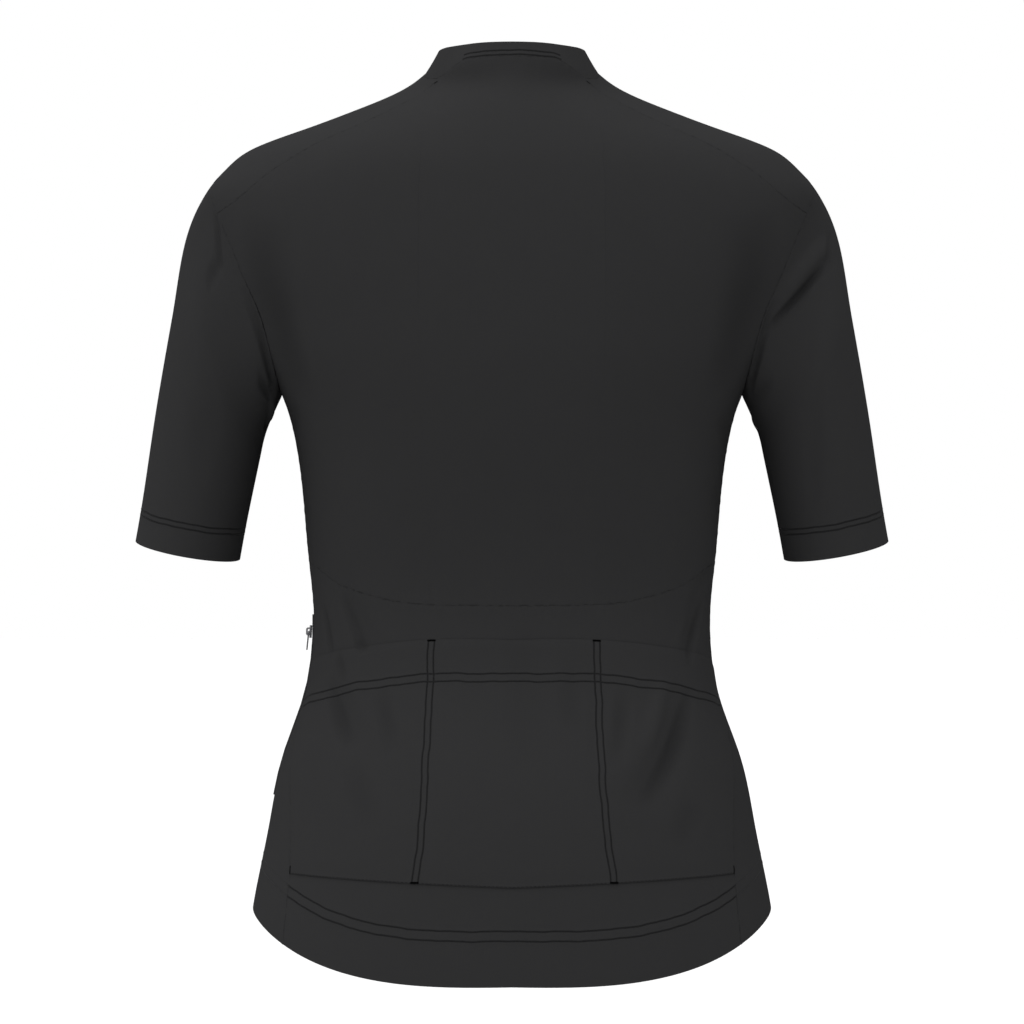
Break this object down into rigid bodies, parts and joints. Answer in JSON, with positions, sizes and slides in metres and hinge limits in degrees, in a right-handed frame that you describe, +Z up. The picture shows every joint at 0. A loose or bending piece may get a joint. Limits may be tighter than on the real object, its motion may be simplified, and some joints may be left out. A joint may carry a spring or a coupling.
{
  "type": "short-sleeved cycling jersey",
  "caption": "Short-sleeved fitted cycling jersey with a low standing collar, a full front zip, a short side zip and open rear pockets under a curved waist seam.",
  "frame": {"origin": "on the centre plane, level with the tops of the shoulders at the neck, where the wearer's shoulders carry the garment", "axes": "+Z up along the garment, +Y towards the wearer's back, +X towards the wearer's left"},
  "size_m": [0.5254, 0.2576, 0.6384],
  "materials": {
    "knit": "matte fine knit",
    "pocket_knit": "matte fine knit",
    "tape": "woven zip tape with a moulded chain",
    "metal": "dark satin zip metal"
  },
  "bodies": {
    "garment": {"back_panel": "knit", "back_tail": "knit", "pocket_panel": "pocket_knit", "front_left": "knit", "front_right": "knit", "sleeve_left": "knit", "sleeve_right": "knit", "collar": "knit", "front_zip": "tape", "front_zip_slider": "metal", "side_zip": "tape", "side_zip_slider": "metal"},
    "front_pull": {"front_zip_pull": "metal"},
    "side_pull": {"side_zip_pull": "metal"}
  },
  "joints": [
    {"name": "front_pull_swing", "type": "hinge", "parent": "garment", "child": "front_pull", "pos_m": [0, -0.06731, -0.04627], "axis": [-1, 0, 0], "range_deg": [0, 140]},
    {"name": "side_pull_swing", "type": "hinge", "parent": "garment", "child": "side_pull", "pos_m": [0.14162, -0.00779, -0.38344], "axis": [-0.0518, -0.9986, -0.0076], "range_deg": [0, 150]}
  ]
}
